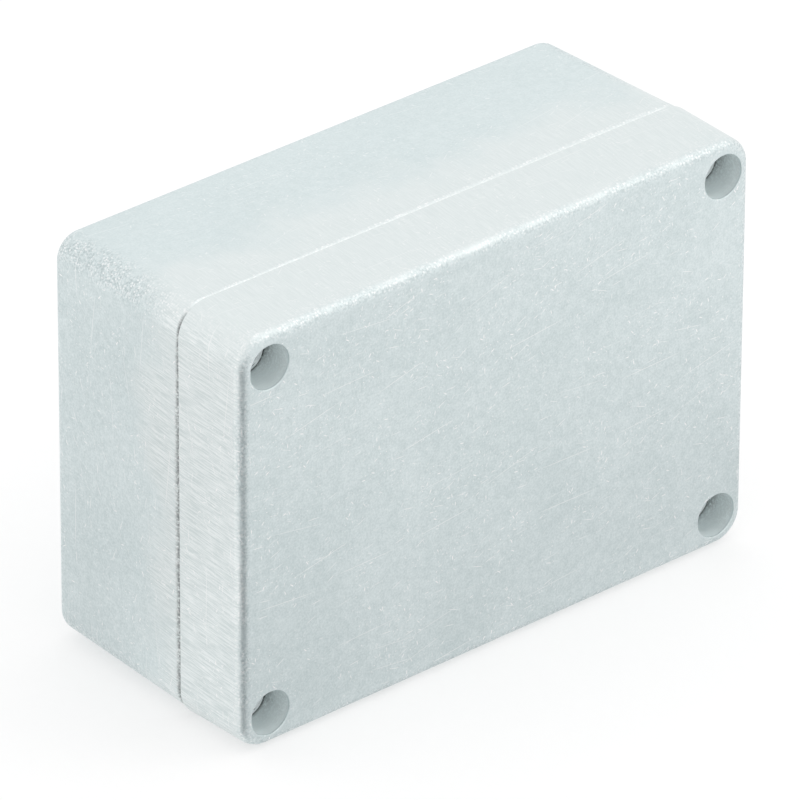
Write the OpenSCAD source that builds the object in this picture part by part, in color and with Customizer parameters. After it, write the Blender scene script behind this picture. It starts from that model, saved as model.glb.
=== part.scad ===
// Die-cast aluminium box: a deep base casting and a shallower cover casting,
// clamped on a seal by four captive screws sunk in the cover's corners.
// Everything is drawn lying on the box's back wall with the cover on top (length
// along X, height along Y, depth along Z) and then stood up on one long side:
// X is the length, the cover faces -Y and +Z is up.

/* [Box] */
// Length over the cover's rim
box_l = 125; // [115:1:160]
// Height over the cover's rim, as the box stands
box_h = 88; // [80:1:120]
// Depth of the base, from its back face to the joint
base_d = 38; // [34:1:60]
// Depth of the cover, from the joint to its front face
cover_d = 17.5; // [16:0.5:24]
// Corner radius of the cover's rim
corner_r = 6.6; // [6:0.1:7.4]
// How far the cover's rim stands proud of the base's rim
rim_step = 0.3; // [0.1:0.1:0.5]

/* [Castings] */
// Side wall of the base
wall_t = 3.6; // [3.4:0.1:4.2]
// Back wall of the base and front wall of the cover
face_t = 3.2; // [3:0.1:4]
// Draft of each wall of the base, over its depth
base_draft = 1; // [0.5:0.1:1.2]
// Draft of each wall of the cover, over its depth
cover_draft = 0.3; // [0.2:0.1:0.5]
// Radius round the front face of the cover
front_r = 2.3; // [1.5:0.1:2.4]
// Radius round the back face of the base
back_r = 2.6; // [2:0.1:3]
// Radius on the base's rim, beside the joint
base_rim_r = 0.8; // [0.5:0.1:1]
// Radius on the cover's rim, beside the joint
cover_rim_r = 0.35; // [0.2:0.05:0.5]
// Radius where the cavities' walls meet their floors
floor_r = 2; // [1:0.5:3]
// Radius of the cavities' upright inner corners
inner_r = 2; // [1:0.5:3]

/* [Seal] */
// Lip between the cavity and the seal groove
lip_t = 0.8; // [0.7:0.1:1]
// Width of the seal groove in the cover
groove_w = 1.8; // [1.6:0.1:1.9]
// Depth of the seal groove in the cover
groove_d = 2.2; // [1.8:0.1:2.6]
// Width of the tongue on the base that presses into the seal
tongue_w = 1; // [0.8:0.1:1.2]
// Height of the tongue on the base
tongue_h = 0.8; // [0.5:0.1:1]
// Gap on each side of the seal in its groove
seal_gap = 0.1; // [0.05:0.05:0.15]

/* [Cover screws] */
// Distance of each screw from the two nearest edges of the cover's rim
screw_inset = 7.25; // [7.2:0.05:7.5]
// Counterbore that sinks the head
sink_dia = 9.1; // [8.8:0.1:9.2]
// How far the head's top lies below the front face
sink_d = 6.6; // [4:0.1:7.5]
// Diameter of the cheese head
head_dia = 8.4; // [8:0.1:8.5]
// Height of the cheese head
head_h = 3.3; // [3:0.1:3.5]
// Reach of the cross recess's wings from the screw's axis
cross_reach = 3; // [2.2:0.1:3.4]
// Width of those wings
cross_w = 1.1; // [0.9:0.1:1.3]
// Depth of the cross recess
cross_d = 2.2; // [1.6:0.1:2.4]
// How far each cross is left turned, in degrees: upper left and right, lower left and right
cross_turns = [-28, -14, -17, -20]; // [-45:1:45]
// Outer diameter of the thread
thread_dia = 4.9; // [4.7:0.1:4.9]
// Diameter of the tapped holes in the base
tapped_dia = 5; // [5:0.05:5.2]
// Waist of the shank, which leaves the screw loose in the cover
waist_dia = 4; // [3.6:0.1:4.2]
// Clearance hole through the cover
clear_dia = 5.5; // [5.3:0.1:5.8]
// Length of the screw under its head
screw_l = 20; // [18:1:22]
// Outer diameter of the ring that keeps the screw in the cover
ring_dia = 8; // [7.6:0.1:8.2]
// Thickness of that ring
ring_t = 1.2; // [1:0.1:1.4]

/* [Wall fixing] */
// Height between the rows of wall fixing holes
fix_pitch_h = 58; // [50:1:58]
// Wall fixing holes through the back
fix_dia = 4.8; // [4.3:0.1:5]
// Pocket for the wall screw's head
fix_head_dia = 8; // [7.4:0.1:8.2]
// Metal under the wall screw's head
fix_seat_t = 5; // [4:0.5:8]
// Radius of the casting round the screws and fixing holes
pad_r = 7.4; // [7.2:0.1:7.6]

/* [Inside] */
// Length between the mounting bosses
boss_pitch_l = 72; // [50:1:80]
// Height between the mounting bosses
boss_pitch_h = 48; // [30:1:50]
// Diameter of the bosses at their top
boss_dia = 7.6; // [7:0.1:9]
// Height of the bosses above the cavity's floor
boss_h = 4.5; // [3:0.5:8]
// Tapped holes in the bosses
boss_hole_dia = 4; // [3:0.1:4]
// Depth of the tapped holes in the bosses
boss_hole_d = 6; // [4:0.5:6]
// Distance of the earth boss from the middle of the box, along its length
earth_x = 48; // [46:1:50]

/* [Hidden] */
$fn = 64;
arc_steps = 8;          // straight steps in each rounded edge of a profile
over = 1;               // how far a cut runs past the face that it opens

box_d = base_d + cover_d;
axis_x = box_l / 2 - corner_r;          // axes that the rounded corners turn about
axis_y = box_h / 2 - corner_r;
screw_x = box_l / 2 - screw_inset;
screw_y = box_h / 2 - screw_inset;
fix_y = fix_pitch_h / 2;
cavity_x = box_l / 2 - rim_step - wall_t;   // half sizes of both cavities at the joint
cavity_y = box_h / 2 - rim_step - wall_t;
seat_z = box_d - sink_d - head_h;           // where a screw head sits in the cover
tip_z = seat_z - screw_l;
ring_recess_d = ring_t + 0.3;
ring_recess_dia = ring_dia + 0.4;
boss_top = face_t + boss_h;
boss_draft = 0.4;                           // how much wider a boss is at its root

// earth terminal: a pan-head screw over a split and a flat washer
washer_dia = 9;
washer_t = 0.8;
lock_dia = 7.6;
lock_t = 1;
earth_thread_dia = 3.9;
earth_hole_dia = 4.3;
earth_head_dia = 8;
earth_head_h = 2.8;
earth_l = 7;
earth_cross_reach = 2.2;
earth_cross_w = 0.9;
earth_cross_d = 1.6;

cast_colour = [0.82, 0.85, 0.86];
steel_colour = [0.74, 0.76, 0.77];
rubber_colour = [0.13, 0.13, 0.14];
fibre_colour = [0.55, 0.22, 0.16];
brass_colour = [0.78, 0.62, 0.33];

// ---- profiles ----

// Arc that rounds the corner at p, between its neighbours a and b, to radius r
function corner_arc(a, p, b, r) =
    let (u = (a - p) / norm(a - p), v = (b - p) / norm(b - p),
         half = acos(u * v) / 2,
         c = p + (u + v) / norm(u + v) * r / sin(half),
         s = p + u * r / tan(half) - c,
         e = p + v * r / tan(half) - c,
         from = atan2(s[1], s[0]),
         turn = atan2(s[0] * e[1] - s[1] * e[0], s * e))
    [for (i = [0 : arc_steps])
        c + r * [cos(from + turn * i / arc_steps), sin(from + turn * i / arc_steps)]];

// A closed outline of corners [x, y, radius]; a radius of 0 leaves the corner sharp
function rounded(corners) =
    let (n = len(corners), at = function (i) [corners[i % n][0], corners[i % n][1]])
    [for (i = [0 : n - 1])
        each (corners[i][2] > 0
            ? corner_arc(at(i + n - 1), at(i), at(i + 1), corners[i][2])
            : [at(i)])];

// Carries a profile round the box: its X is the distance outwards from the corner
// axes and its Y the depth, so one outline makes all four walls and their corners
module carry_round(depth) {
    for (q = [0 : 3]) {
        across = q % 2 == 0 ? axis_x : axis_y;
        along = q % 2 == 0 ? axis_y : axis_x;
        rotate(90 * q) {
            translate([across, 0, 0]) rotate([90, 0, 0])
                linear_extrude(2 * along, center = true) children();
            translate([across, along, 0]) rotate_extrude(angle = 90) children();
        }
    }
    translate([-axis_x, -axis_y, 0]) cube([2 * axis_x, 2 * axis_y, depth]);
}

// Pocket with four drafted walls: half sizes at the mouth, depth, draft per wall
module drafted_pocket(half_x, half_y, depth, draft) {
    intersection() {
        rotate([90, 0, 0]) linear_extrude(box_l, center = true)
            polygon(pocket_section(half_x, depth, draft));
        rotate([90, 0, 90]) linear_extrude(box_l, center = true)
            polygon(pocket_section(half_y, depth, draft));
    }
}

// Section of a pocket, with its mouth at height 0 and its floor below
function pocket_section(half, depth, draft) =
    let (slope = draft / depth)
    rounded([
        [half + over * slope, over, 0], [-half - over * slope, over, 0],
        [-half + draft, -depth, floor_r], [half - draft, -depth, floor_r]
    ]);

// The line that the seal follows, a distance out from the cavity: along the walls
// and inwards round the screws and fixing holes, which stay outside the seal
function seal_line(out) =
    let (x = cavity_x + out, y = cavity_y + out, r = pad_r - out,
         px = screw_x - r, py = fix_y - r, quarter = [
             [x, py, inner_r + out], [px, py, r], [px, y, inner_r + out]])
    rounded(concat(
        quarter,
        [for (i = [2 : -1 : 0]) [-quarter[i][0], quarter[i][1], quarter[i][2]]],
        [for (c = quarter) [-c[0], -c[1], c[2]]],
        [for (i = [2 : -1 : 0]) [quarter[i][0], -quarter[i][1], quarter[i][2]]]));

// Band that follows the seal line between two distances out from the cavity
module seal_band(inner, outer, height) {
    linear_extrude(height) difference() {
        polygon(seal_line(outer));
        polygon(seal_line(inner));
    }
}

// Copies its children at all four corners, at a distance from the middle
module corners(x, y) {
    for (sx = [-1, 1], sy = [-1, 1]) translate([sx * x, sy * y, 0]) children();
}

// Stands the lying box up on its long side, with its foot on Z = 0
module stand() {
    translate([0, box_d / 2, box_h / 2]) rotate([90, 0, 0]) children();
}

// ---- base casting ----

module base_form() {
    rim = corner_r - rim_step;
    carry_round(base_d) polygon(rounded([
        [0, 0, 0], [rim - base_draft, 0, back_r],
        [rim, base_d, base_rim_r], [0, base_d, 0]
    ]));
}

module base_cavity() {
    depth = base_d - face_t;
    translate([0, 0, base_d]) intersection() {
        drafted_pocket(cavity_x, cavity_y, depth, base_draft * depth / base_d);
        translate([0, 0, -depth - over]) linear_extrude(depth + 3 * over)
            polygon(seal_line(0));
    }
}

// Round boss on the cavity's floor, a little wider at its root
module boss() {
    translate([0, 0, face_t / 2])
        cylinder(h = boss_h + face_t / 2, d1 = boss_dia + boss_draft, d2 = boss_dia);
}

module boss_hole(dia) {
    translate([0, 0, boss_top - boss_hole_d]) cylinder(h = boss_hole_d + over, d = dia);
}

module base() {
    color(cast_colour) stand() difference() {
        union() {
            difference() {
                base_form();
                base_cavity();
            }
            tongue_in = lip_t + (groove_w - tongue_w) / 2;
            translate([0, 0, base_d]) seal_band(tongue_in, tongue_in + tongue_w, tongue_h);
            corners(boss_pitch_l / 2, boss_pitch_h / 2) boss();
            translate([-earth_x, 0, 0]) boss();
        }
        corners(screw_x, screw_y)
            translate([0, 0, tip_z - 2]) cylinder(h = base_d - tip_z + 2 + over, d = tapped_dia);
        corners(screw_x, fix_y) {
            translate([0, 0, -over]) cylinder(h = base_d, d = fix_dia);
            translate([0, 0, fix_seat_t]) cylinder(h = base_d, d = fix_head_dia);
        }
        corners(boss_pitch_l / 2, boss_pitch_h / 2) boss_hole(boss_hole_dia);
        translate([-earth_x, 0, 0]) boss_hole(boss_hole_dia);
    }
}

// ---- cover casting ----

module cover_form() {
    translate([0, 0, base_d]) carry_round(cover_d) polygon(rounded([
        [0, 0, 0], [corner_r, 0, cover_rim_r],
        [corner_r - cover_draft, cover_d, front_r], [0, cover_d, 0]
    ]));
}

module cover_cavity() {
    depth = cover_d - face_t;
    translate([0, 0, base_d]) intersection() {
        mirror([0, 0, 1])
            drafted_pocket(cavity_x, cavity_y, depth, cover_draft * depth / cover_d);
        translate([0, 0, -over]) linear_extrude(depth + 2 * over) polygon(seal_line(0));
    }
}

module cover() {
    color(cast_colour) stand() difference() {
        cover_form();
        cover_cavity();
        translate([0, 0, base_d - over])
            seal_band(lip_t, lip_t + groove_w, groove_d + over);
        corners(screw_x, screw_y) {
            translate([0, 0, seat_z]) cylinder(h = box_d, d = sink_dia);
            translate([0, 0, base_d - over]) cylinder(h = box_d, d = clear_dia);
            translate([0, 0, base_d - over])
                cylinder(h = ring_recess_d + over, d = ring_recess_dia);
        }
    }
}

// ---- seal and fasteners ----

module gasket() {
    color(rubber_colour) stand() translate([0, 0, base_d + tongue_h])
        seal_band(lip_t + seal_gap, lip_t + groove_w - seal_gap, groove_d - tongue_h);
}

// Turned profile of a screw: head up, with the underside of the head at height 0
module turned_screw(head_d, head_height, edge, shank_d, shank_l, thread_d, length) {
    point = 0.8;
    rotate_extrude() polygon([
        [0, head_height], [head_d / 2 - edge, head_height], [head_d / 2, head_height - edge],
        [head_d / 2, 0], [shank_d / 2, 0], [shank_d / 2, -shank_l],
        [thread_d / 2, -shank_l], [thread_d / 2, point - length],
        [thread_d / 2 - point, -length], [0, -length]
    ]);
}

// Cross recess in a screw head whose top is at height 0: two wings that taper inwards
module cross_recess(reach, width, depth) {
    root = 0.4 * reach;
    for (turn = [0, 90]) rotate([90, 0, turn]) linear_extrude(width, center = true)
        polygon([[-reach, over], [reach, over], [reach, 0], [root, -depth],
                 [-root, -depth], [-reach, 0]]);
}

// Captive cover screw; sx and sy are the signs of its corner, turn that of its cross
module cover_screw(sx, sy, turn) {
    waist_l = seat_z - base_d + 2;
    color(steel_colour) stand() translate([sx * screw_x, sy * screw_y, seat_z])
        difference() {
            turned_screw(head_dia, head_h, 0.3, waist_dia, waist_l, thread_dia, screw_l);
            translate([0, 0, head_h]) rotate(turn)
                cross_recess(cross_reach, cross_w, cross_d);
        }
}

// Ring in the cover's recess, round the screw's waist, which the thread can't pass
module retaining_ring(sx, sy) {
    color(fibre_colour) stand()
        translate([sx * screw_x, sy * screw_y, base_d + ring_recess_d - ring_t])
            difference() {
                cylinder(h = ring_t, d = ring_dia);
                translate([0, 0, -over]) cylinder(h = ring_t + 2 * over, d = waist_dia + 0.2);
            }
}

// Places earth pieces on the earth boss, with the boss's top at height 0
module on_earth_boss() {
    stand() translate([-earth_x, 0, boss_top]) children();
}

module earth_washer() {
    color(brass_colour) on_earth_boss() difference() {
        cylinder(h = washer_t, d = washer_dia);
        translate([0, 0, -over]) cylinder(h = washer_t + 2 * over, d = earth_hole_dia);
    }
}

module earth_lock_washer() {
    color(steel_colour) on_earth_boss() translate([0, 0, washer_t]) difference() {
        cylinder(h = lock_t, d = lock_dia);
        translate([0, 0, -over]) cylinder(h = lock_t + 2 * over, d = earth_hole_dia);
        rotate(30) translate([0, -0.3, -over]) cube([lock_dia, 0.6, lock_t + 2 * over]);
    }
}

module earth_screw() {
    color(brass_colour) on_earth_boss() translate([0, 0, washer_t + lock_t]) difference() {
        turned_screw(earth_head_dia, earth_head_h, 0.7, earth_thread_dia, 1,
                     earth_thread_dia, earth_l);
        translate([0, 0, earth_head_h])
            cross_recess(earth_cross_reach, earth_cross_w, earth_cross_d);
    }
}

base();
cover();
gasket();
cover_screw(-1, 1, cross_turns[0]);  // cover_screw_upper_left
cover_screw(1, 1, cross_turns[1]);  // cover_screw_upper_right
cover_screw(-1, -1, cross_turns[2]);  // cover_screw_lower_left
cover_screw(1, -1, cross_turns[3]);  // cover_screw_lower_right
retaining_ring(-1, 1);  // retaining_ring_upper_left
retaining_ring(1, 1);  // retaining_ring_upper_right
retaining_ring(-1, -1);  // retaining_ring_lower_left
retaining_ring(1, -1);  // retaining_ring_lower_right
earth_screw();
earth_lock_washer();
earth_washer();
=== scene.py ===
"""Dresses the die-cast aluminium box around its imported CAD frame.

The two castings and the four captive screws are rebuilt as numpy surfaces with their rims,
rounds and threads; the seal, the retaining rings and the earth pieces keep their CAD solids
and get their finishes here. Sizes are in millimetres and are those of the part's source.

Shapes are worked out lying on the back wall: x along the length, y up the height and z out
of the back wall towards the cover. ``StandingFrame`` turns them into the row frame in metres.
"""

import logging
import math
from dataclasses import dataclass, field
from enum import Enum

import bmesh
import bpy
import numpy as np
from mathutils import Matrix, Vector
from mathutils.geometry import delaunay_2d_cdt

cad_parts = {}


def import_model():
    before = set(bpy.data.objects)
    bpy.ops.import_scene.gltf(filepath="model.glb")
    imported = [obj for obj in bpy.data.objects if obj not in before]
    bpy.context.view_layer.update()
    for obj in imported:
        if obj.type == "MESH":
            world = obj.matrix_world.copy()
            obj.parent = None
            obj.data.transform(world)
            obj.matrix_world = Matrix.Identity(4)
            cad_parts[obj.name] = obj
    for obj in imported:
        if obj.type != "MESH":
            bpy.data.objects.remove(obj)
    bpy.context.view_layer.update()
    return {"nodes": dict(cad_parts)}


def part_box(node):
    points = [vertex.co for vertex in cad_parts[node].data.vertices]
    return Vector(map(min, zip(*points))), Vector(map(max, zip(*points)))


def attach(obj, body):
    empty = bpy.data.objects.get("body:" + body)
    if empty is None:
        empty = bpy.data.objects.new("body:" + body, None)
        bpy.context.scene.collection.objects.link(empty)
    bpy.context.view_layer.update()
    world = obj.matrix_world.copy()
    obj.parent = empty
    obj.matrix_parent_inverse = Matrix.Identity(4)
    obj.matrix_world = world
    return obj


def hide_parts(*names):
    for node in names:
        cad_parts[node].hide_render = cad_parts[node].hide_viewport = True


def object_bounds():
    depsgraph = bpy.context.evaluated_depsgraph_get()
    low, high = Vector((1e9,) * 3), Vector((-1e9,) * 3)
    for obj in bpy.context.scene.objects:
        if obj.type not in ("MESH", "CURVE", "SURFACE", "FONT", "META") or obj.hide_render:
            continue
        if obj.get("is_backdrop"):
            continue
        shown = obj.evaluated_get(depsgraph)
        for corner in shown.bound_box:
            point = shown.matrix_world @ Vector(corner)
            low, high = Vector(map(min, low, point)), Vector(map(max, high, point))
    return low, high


LOG = logging.getLogger("die_cast_box")
MM = 0.001
WELD = 1e-5  # mm: points closer than this are one vertex
SURFACE_MAP = "surface_mm"  # UV map that holds millimetres along and across each surface
WEAR = "wear"  # attribute: 1 where tumbling strikes the castings' outer edges
LINISH = "linish"  # attribute: over 0.5 where a belt has dressed the casting
BORED = "bored"  # attribute: 1 where a cutter has bored or faced the casting
CALM = "calm"  # attribute: 1 on the upper side, which handling has marked least
PAINTED_SHADE = "soil"  # attribute: up to 1 where shade is painted, in the joint's gap, the bores and the screws' recesses
CARRIED = (WEAR, LINISH, BORED, CALM, PAINTED_SHADE)
ROUND_STEPS = 64  # straight steps in each full turn
TURN = np.linspace(0, 2 * math.pi, ROUND_STEPS + 1)

Line = np.ndarray  # outline of shape (points, 2)
Rows = list[tuple[Line, float]]  # outlines that match point for point, each with its height
Span = tuple[float, float]  # two ends of a range
Tree = bpy.types.NodeTree
Socket = bpy.types.NodeSocket


def smooth(low: float, high: float, x: np.ndarray) -> np.ndarray:
    """Cubic step 3t^2 - 2t^3 with t = (x - low) / (high - low), held from 0 to 1."""
    t = np.clip((x - low) / (high - low), 0.0, 1.0)
    return t * t * (3.0 - 2.0 * t)


def arc(centre: tuple[float, float], radius: float, start: float, end: float, steps: int) -> np.ndarray:
    """Points centre + radius (cos a, sin a) for a from start to end, in degrees.

    Args:
        centre: Middle of the arc in its profile's plane.
        radius: Radius of the arc.
        start: First angle, in degrees.
        end: Last angle, in degrees.
        steps: Straight steps in the arc.

    Returns:
        An array of steps + 1 points.
    """
    angle = np.radians(np.linspace(start, end, steps + 1))
    return np.array(centre) + radius * np.stack([np.cos(angle), np.sin(angle)], 1)


def round_corners(corners: np.ndarray, steps: int = 10) -> np.ndarray:
    """A closed outline with each corner replaced by the arc tangent to its two sides.

    With u and v the unit vectors from corner p to its neighbours and 2h the angle between
    them, the arc's centre is p + (u + v) / |u + v| r / sin h and its ends p + u r / tan h
    and p + v r / tan h.

    Args:
        corners: Rows of x, y and radius.
        steps: Straight steps in each arc.

    Returns:
        The outline's points, steps + 1 for each corner.
    """
    p, r = corners[:, :2], corners[:, 2:]
    u, v = np.roll(p, 1, 0) - p, np.roll(p, -1, 0) - p
    u /= np.linalg.norm(u, axis=1, keepdims=True)
    v /= np.linalg.norm(v, axis=1, keepdims=True)
    half = np.arccos((u * v).sum(1, keepdims=True)) / 2
    centre = p + (u + v) / np.linalg.norm(u + v, axis=1, keepdims=True) * r / np.sin(half)
    s, e = p + u * r / np.tan(half) - centre, p + v * r / np.tan(half) - centre
    turn = np.arctan2(s[:, 0] * e[:, 1] - s[:, 1] * e[:, 0], (s * e).sum(1))
    angle = np.arctan2(s[:, 1], s[:, 0])[:, None] + turn[:, None] * np.linspace(0, 1, steps + 1)
    ring = np.stack([np.cos(angle), np.sin(angle)], 2)
    return (centre[:, None] + r[:, None] * ring).reshape(-1, 2)


def inside(points: np.ndarray, loops: list[Line]) -> np.ndarray:
    """Even-odd test: inside is where a ray along x crosses the loops an odd number of times.

    Args:
        points: The points to test.
        loops: Closed lines.

    Returns:
        True for each point inside.
    """
    a = np.concatenate(loops)
    b = np.concatenate([np.roll(loop, -1, 0) for loop in loops])
    x, y = points[:, :1], points[:, 1:]
    spans = (a[:, 1] > y) != (b[:, 1] > y)
    rise = np.where(a[:, 1] == b[:, 1], 1.0, b[:, 1] - a[:, 1])
    return (spans & (x < a[:, 0] + (y - a[:, 1]) / rise * (b[:, 0] - a[:, 0]))).sum(1) % 2 == 1


@dataclass(frozen=True)
class Sizes:
    """Sizes that the castings and the screws share, in millimetres."""

    length: float = 125.0
    height: float = 88.0
    base_depth: float = 38.0
    cover_depth: float = 17.5
    corner: float = 6.6
    rim_step: float = 0.3
    wall: float = 3.6
    face: float = 3.2
    base_draft: float = 1.0
    cover_draft: float = 0.3
    front_round: float = 2.3
    back_round: float = 2.6
    cover_rim_round: float = 0.35
    floor_round: float = 2.0
    inner_round: float = 2.0
    pad: float = 7.4
    screw_inset: float = 7.25
    fixing_y: float = 29.0
    head_sink: float = 6.6
    head_height: float = 3.3
    screw_length: float = 20.0

    @property
    def depth(self) -> float:
        """Depth of the closed box."""
        return self.base_depth + self.cover_depth

    @property
    def seat_z(self) -> float:
        """Height of the seats under the screw heads."""
        return self.depth - self.head_sink - self.head_height

    @property
    def tip_z(self) -> float:
        """Height of the screws' tips."""
        return self.seat_z - self.screw_length

    @property
    def screws(self) -> np.ndarray:
        """Axes of the four cover screws."""
        inset = self.screw_inset
        return self.at_corners(self.length / 2 - inset, self.height / 2 - inset)

    @property
    def fixings(self) -> np.ndarray:
        """Axes of the four wall fixing holes."""
        return self.at_corners(self.length / 2 - self.screw_inset, self.fixing_y)

    @property
    def cavity(self) -> np.ndarray:
        """Half sizes of both cavities at the joint."""
        edge = self.rim_step + self.wall
        return np.array([self.length / 2 - edge, self.height / 2 - edge])

    @staticmethod
    def at_corners(x: float, y: float) -> np.ndarray:
        """The four points (+-x, +-y)."""
        return np.array([[x, y], [-x, y], [-x, -y], [x, -y]])

    def seal_line(self, out: float) -> np.ndarray:
        """The line that the seal follows, a distance out from the cavity's wall.

        It runs along the walls and steps inwards round each pair of screw and fixing hole.
        Offsetting it by out adds out to the half sizes and to the convex radii and takes it
        from the concave ones, so lines at different distances match point for point.

        Args:
            out: The distance.

        Returns:
            The closed line.
        """
        x, y = self.cavity + out
        r = self.pad - out
        px, py = self.screws[0, 0] - r, self.fixing_y - r
        small = self.inner_round + out
        quarter = np.array([[x, py, small], [px, py, r], [px, y, small]])
        back, flip_x, flip_y = quarter[::-1], np.array([-1, 1, 1]), np.array([1, -1, 1])
        far = quarter * flip_x * flip_y
        return round_corners(np.concatenate([quarter, back * flip_x, far, back * flip_y]))


@dataclass(frozen=True)
class StandingFrame:
    """Where the lying box stands in the row frame, taken from the CAD frame's own boxes."""

    back_y: float
    middle_z: float

    @classmethod
    def from_cad(cls) -> "StandingFrame":
        """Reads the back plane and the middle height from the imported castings."""
        low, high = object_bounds()
        return cls(back_y=high.y / MM, middle_z=(low.z + high.z) / 2 / MM)

    def stand(self, points: np.ndarray) -> np.ndarray:
        """(x, y, z) lying, in mm, to (x, back - z, middle + y) in the row frame, in metres."""
        x, y, z = points.T
        return np.stack([x, self.back_y - z, self.middle_z + y], 1) * MM


@dataclass
class Patch:
    """One surface: points, triangles, and what each point carries for the materials."""

    points: np.ndarray
    triangles: np.ndarray
    surface: np.ndarray
    carried: dict[str, np.ndarray]
    rows: int = 1

    def outline(self, column: int) -> Line:
        """One column of a grid that closes on itself, seen from above, without its repeated end."""
        return self.points.reshape(self.rows, -1, 3)[:-1, column, :2]


def grid_patch(points: np.ndarray, surface: np.ndarray, **carried: np.ndarray | float) -> Patch:
    """Triangulates a grid of points.

    Args:
        points: Grid of shape (rows, columns, 3).
        surface: Millimetres along and across the surface, of shape (rows, columns, 2).
        **carried: Attributes by name, each for the whole grid or for every point.

    Returns:
        The patch, with cells split along one diagonal.
    """
    rows, columns = points.shape[:2]
    at = np.arange(rows * columns).reshape(rows, columns)
    a, b, c, d = at[:-1, :-1], at[:-1, 1:], at[1:, 1:], at[1:, :-1]
    halves = ((a, b, c), (a, c, d))
    triangles = np.concatenate([np.stack(half, -1).reshape(-1, 3) for half in halves])
    full = {name: np.broadcast_to(value, (rows, columns)).ravel() for name, value in carried.items()}
    return Patch(points.reshape(-1, 3), triangles, surface.reshape(-1, 2), full, rows)


def plate_patch(loops: list[Line], z: float, **carried: float) -> Patch:
    """A flat face at height z, bounded by its first loop and pierced by the others.

    Its triangles are the constrained Delaunay ones whose centres pass the even-odd test.

    Args:
        loops: The lines that bound it.
        z: Its height.
        **carried: Attributes by name, for the whole face.

    Returns:
        The face.
    """
    ring = np.concatenate(loops)
    first = np.cumsum([0] + [len(loop) for loop in loops[:-1]])
    runs = [start + np.arange(len(loop)) for start, loop in zip(first, loops)]
    edges = np.concatenate([np.stack([run, np.roll(run, -1)], 1) for run in runs])
    found = delaunay_2d_cdt(ring.tolist(), edges.tolist(), [], 0, 1e-7, False)
    near = ((np.array(found[0])[:, None] - ring[None]) ** 2).sum(2).argmin(1)
    triangles = near[np.array(found[2])]
    triangles = triangles[inside(ring[triangles].mean(1), loops)]
    points = np.column_stack([ring, np.full(len(ring), z)])
    full = {name: np.full(len(ring), value) for name, value in carried.items()}
    return Patch(points, triangles, ring, full)


def turned_patch(centre: np.ndarray, profile: np.ndarray, **carried: np.ndarray | float) -> Patch:
    """A profile of radius and height turned about an upright axis.

    P(a, s) = (cx + r(a, s) cos a, cy + r(a, s) sin a, z(a, s)), with a from 0 to 360 degrees.

    Args:
        centre: The axis.
        profile: Rows of radius and height, the same at every angle or one set for each.
        **carried: Attributes by name, for the whole surface or along the profile.

    Returns:
        The surface.
    """
    angle = TURN[:, None]
    profile = np.broadcast_to(profile, (ROUND_STEPS + 1, *profile.shape[-2:]))
    r, z = profile[..., 0], profile[..., 1]
    points = np.stack([centre[0] + r * np.cos(angle), centre[1] + r * np.sin(angle), z], 2)
    run = np.cumsum(np.linalg.norm(np.diff(profile[0], axis=0), axis=1))
    surface = np.stack(np.broadcast_arrays(angle * r.max(), np.concatenate([[0], run])), 2)
    return grid_patch(points, surface, **carried)


def strip_patch(rows: Rows) -> Patch:
    """Joins outlines, each at its own height, into one closed strip.

    Args:
        rows: The outlines, in order.

    Returns:
        The strip.
    """
    points = np.stack([np.column_stack([line, np.full(len(line), z)]) for line, z in rows], 1)
    points = np.concatenate([points, points[:1]])
    step = np.linalg.norm(np.diff(points[:, 0], axis=0), axis=1)
    across = np.linalg.norm(np.diff(points, axis=1), axis=2)
    run = np.concatenate([np.zeros((len(points), 1)), np.cumsum(across, 1)], 1)
    along = np.broadcast_to(np.concatenate([[0], np.cumsum(step)])[:, None], run.shape)
    return grid_patch(points, np.stack([along, run], 2))


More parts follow.
